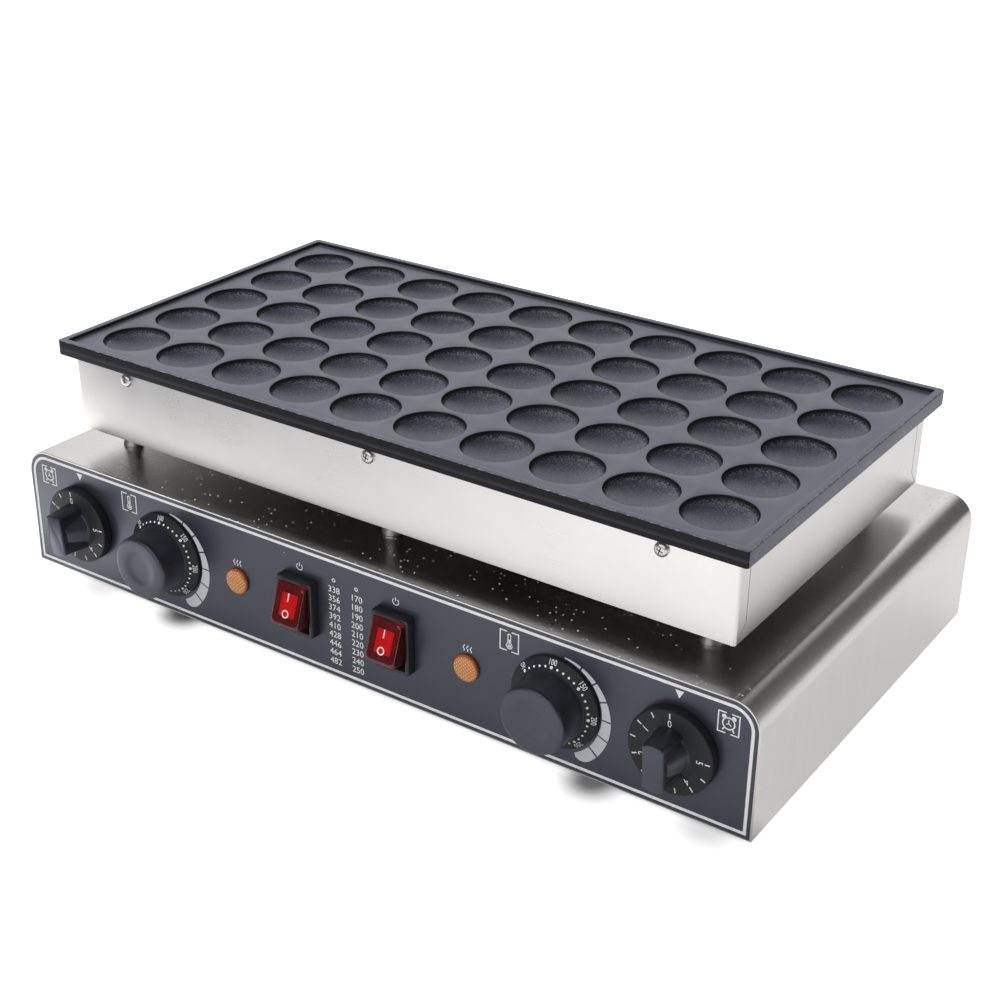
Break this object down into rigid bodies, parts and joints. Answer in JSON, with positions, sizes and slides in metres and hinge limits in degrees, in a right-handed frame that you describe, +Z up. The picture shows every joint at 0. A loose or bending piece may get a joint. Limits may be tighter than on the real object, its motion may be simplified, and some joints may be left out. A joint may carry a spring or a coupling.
{
  "type": "mini pancake maker",
  "caption": "Electric mini pancake maker: dimpled non-stick plate on a steel heater box, on posts above a wider control base with timer and thermostat knobs, lamps and rocker switches.",
  "frame": {"origin": "middle of the outline seen from above, on the floor under the feet", "axes": "+X to the right along the front panel, +Y from the panel to the back, +Z up"},
  "size_m": [0.572, 0.363, 0.1787],
  "materials": {
    "cast_coated": "dark non-stick coat on cast metal, slightly rough",
    "box_steel": "satin stainless sheet",
    "base_steel": "brushed stainless sheet, fine marks",
    "plain_sheet": "plain sheet, dull",
    "post_steel": "turned steel",
    "zinc_fasteners": "bright zinc",
    "fibre_mat": "pressed ceramic fibre",
    "heater_sheath": "heat-darkened tube",
    "printed_film": "fine-grained charcoal film with white print",
    "foot_rubber": "matt moulded rubber",
    "black_nylon": "moulded nylon",
    "knob_black": "satin black moulding with white print",
    "switch_black": "black moulding, grained bezel",
    "rocker_red": "clear red moulding",
    "core_red": "bright red moulding with white marks",
    "lamp_amber": "clear amber lens",
    "white_moulding": "off-white moulding",
    "brass": "plain brass",
    "copper_tube": "drawn copper",
    "lead_insulation": "braided sleeve"
  },
  "bodies": {
    "cooker": {"cooking_plate": "cast_coated", "heater_box_front": "box_steel", "heater_box_rear": "box_steel", "heater_box_left": "box_steel", "heater_box_right": "box_steel", "base_shell": "base_steel", "heater_box_floor": "plain_sheet", "front_panel": "plain_sheet", "rear_panel": "plain_sheet", "base_plate": "plain_sheet", "wire_conduit": "plain_sheet", "clamp_bars": "plain_sheet", "standoff_posts": "post_steel", "plate_screws": "zinc_fasteners", "post_bolts": "zinc_fasteners", "post_nuts": "zinc_fasteners", "base_screws": "zinc_fasteners", "foot_screws": "zinc_fasteners", "case_nuts": "zinc_fasteners", "clamp_studs": "zinc_fasteners", "clamp_nuts": "zinc_fasteners", "bulb_clips": "zinc_fasteners", "terminal_screws": "zinc_fasteners", "control_screws": "zinc_fasteners", "insulation_mat": "fibre_mat", "heating_elements": "heater_sheath", "panel_overlay": "printed_film", "rubber_feet": "foot_rubber", "cable_gland": "black_nylon", "gland_locknut": "black_nylon", "switch_housing_left": "switch_black", "switch_housing_right": "switch_black", "lamp_lens_left": "lamp_amber", "lamp_lens_right": "lamp_amber", "terminal_block": "white_moulding", "lamp_body_left": "white_moulding", "lamp_body_right": "white_moulding", "timer_left": "white_moulding", "timer_right": "white_moulding", "thermostat_left": "white_moulding", "thermostat_right": "white_moulding", "spade_terminals": "brass", "earth_stud": "brass", "capillary_left": "copper_tube", "capillary_right": "copper_tube", "heater_leads": "lead_insulation", "mains_leads": "lead_insulation"},
    "timer_knob_left": {"timer_knob_left": "knob_black", "timer_shaft_left": "zinc_fasteners"},
    "thermostat_knob_left": {"thermostat_knob_left": "knob_black", "thermostat_shaft_left": "zinc_fasteners"},
    "rocker_left": {"rocker_left": "rocker_red", "rocker_core_left": "core_red"},
    "timer_knob_right": {"timer_knob_right": "knob_black", "timer_shaft_right": "zinc_fasteners"},
    "thermostat_knob_right": {"thermostat_knob_right": "knob_black", "thermostat_shaft_right": "zinc_fasteners"},
    "rocker_right": {"rocker_right": "rocker_red", "rocker_core_right": "core_red"}
  },
  "joints": [
    {"name": "timer_left_turn", "type": "hinge", "parent": "cooker", "child": "timer_knob_left", "pos_m": [-0.2354, -0.1545, 0.05425], "axis": [0, 1, 0], "range_deg": [0, 277]},
    {"name": "thermostat_left_turn", "type": "hinge", "parent": "cooker", "child": "thermostat_knob_left", "pos_m": [-0.1555, -0.1545, 0.05425], "axis": [0, 1, 0], "range_deg": [-190, 95]},
    {"name": "rocker_left_tilt", "type": "hinge", "parent": "cooker", "child": "rocker_left", "pos_m": [-0.0383, -0.1573, 0.05575], "axis": [1, 0, 0], "range_deg": [0, 40]},
    {"name": "timer_right_turn", "type": "hinge", "parent": "cooker", "child": "timer_knob_right", "pos_m": [0.2354, -0.1545, 0.05425], "axis": [0, 1, 0], "range_deg": [0, 273]},
    {"name": "thermostat_right_turn", "type": "hinge", "parent": "cooker", "child": "thermostat_knob_right", "pos_m": [0.1555, -0.1545, 0.05425], "axis": [0, 1, 0], "range_deg": [-190, 95]},
    {"name": "rocker_right_tilt", "type": "hinge", "parent": "cooker", "child": "rocker_right", "pos_m": [0.0383, -0.1573, 0.05575], "axis": [1, 0, 0], "range_deg": [0, 40]}
  ]
}
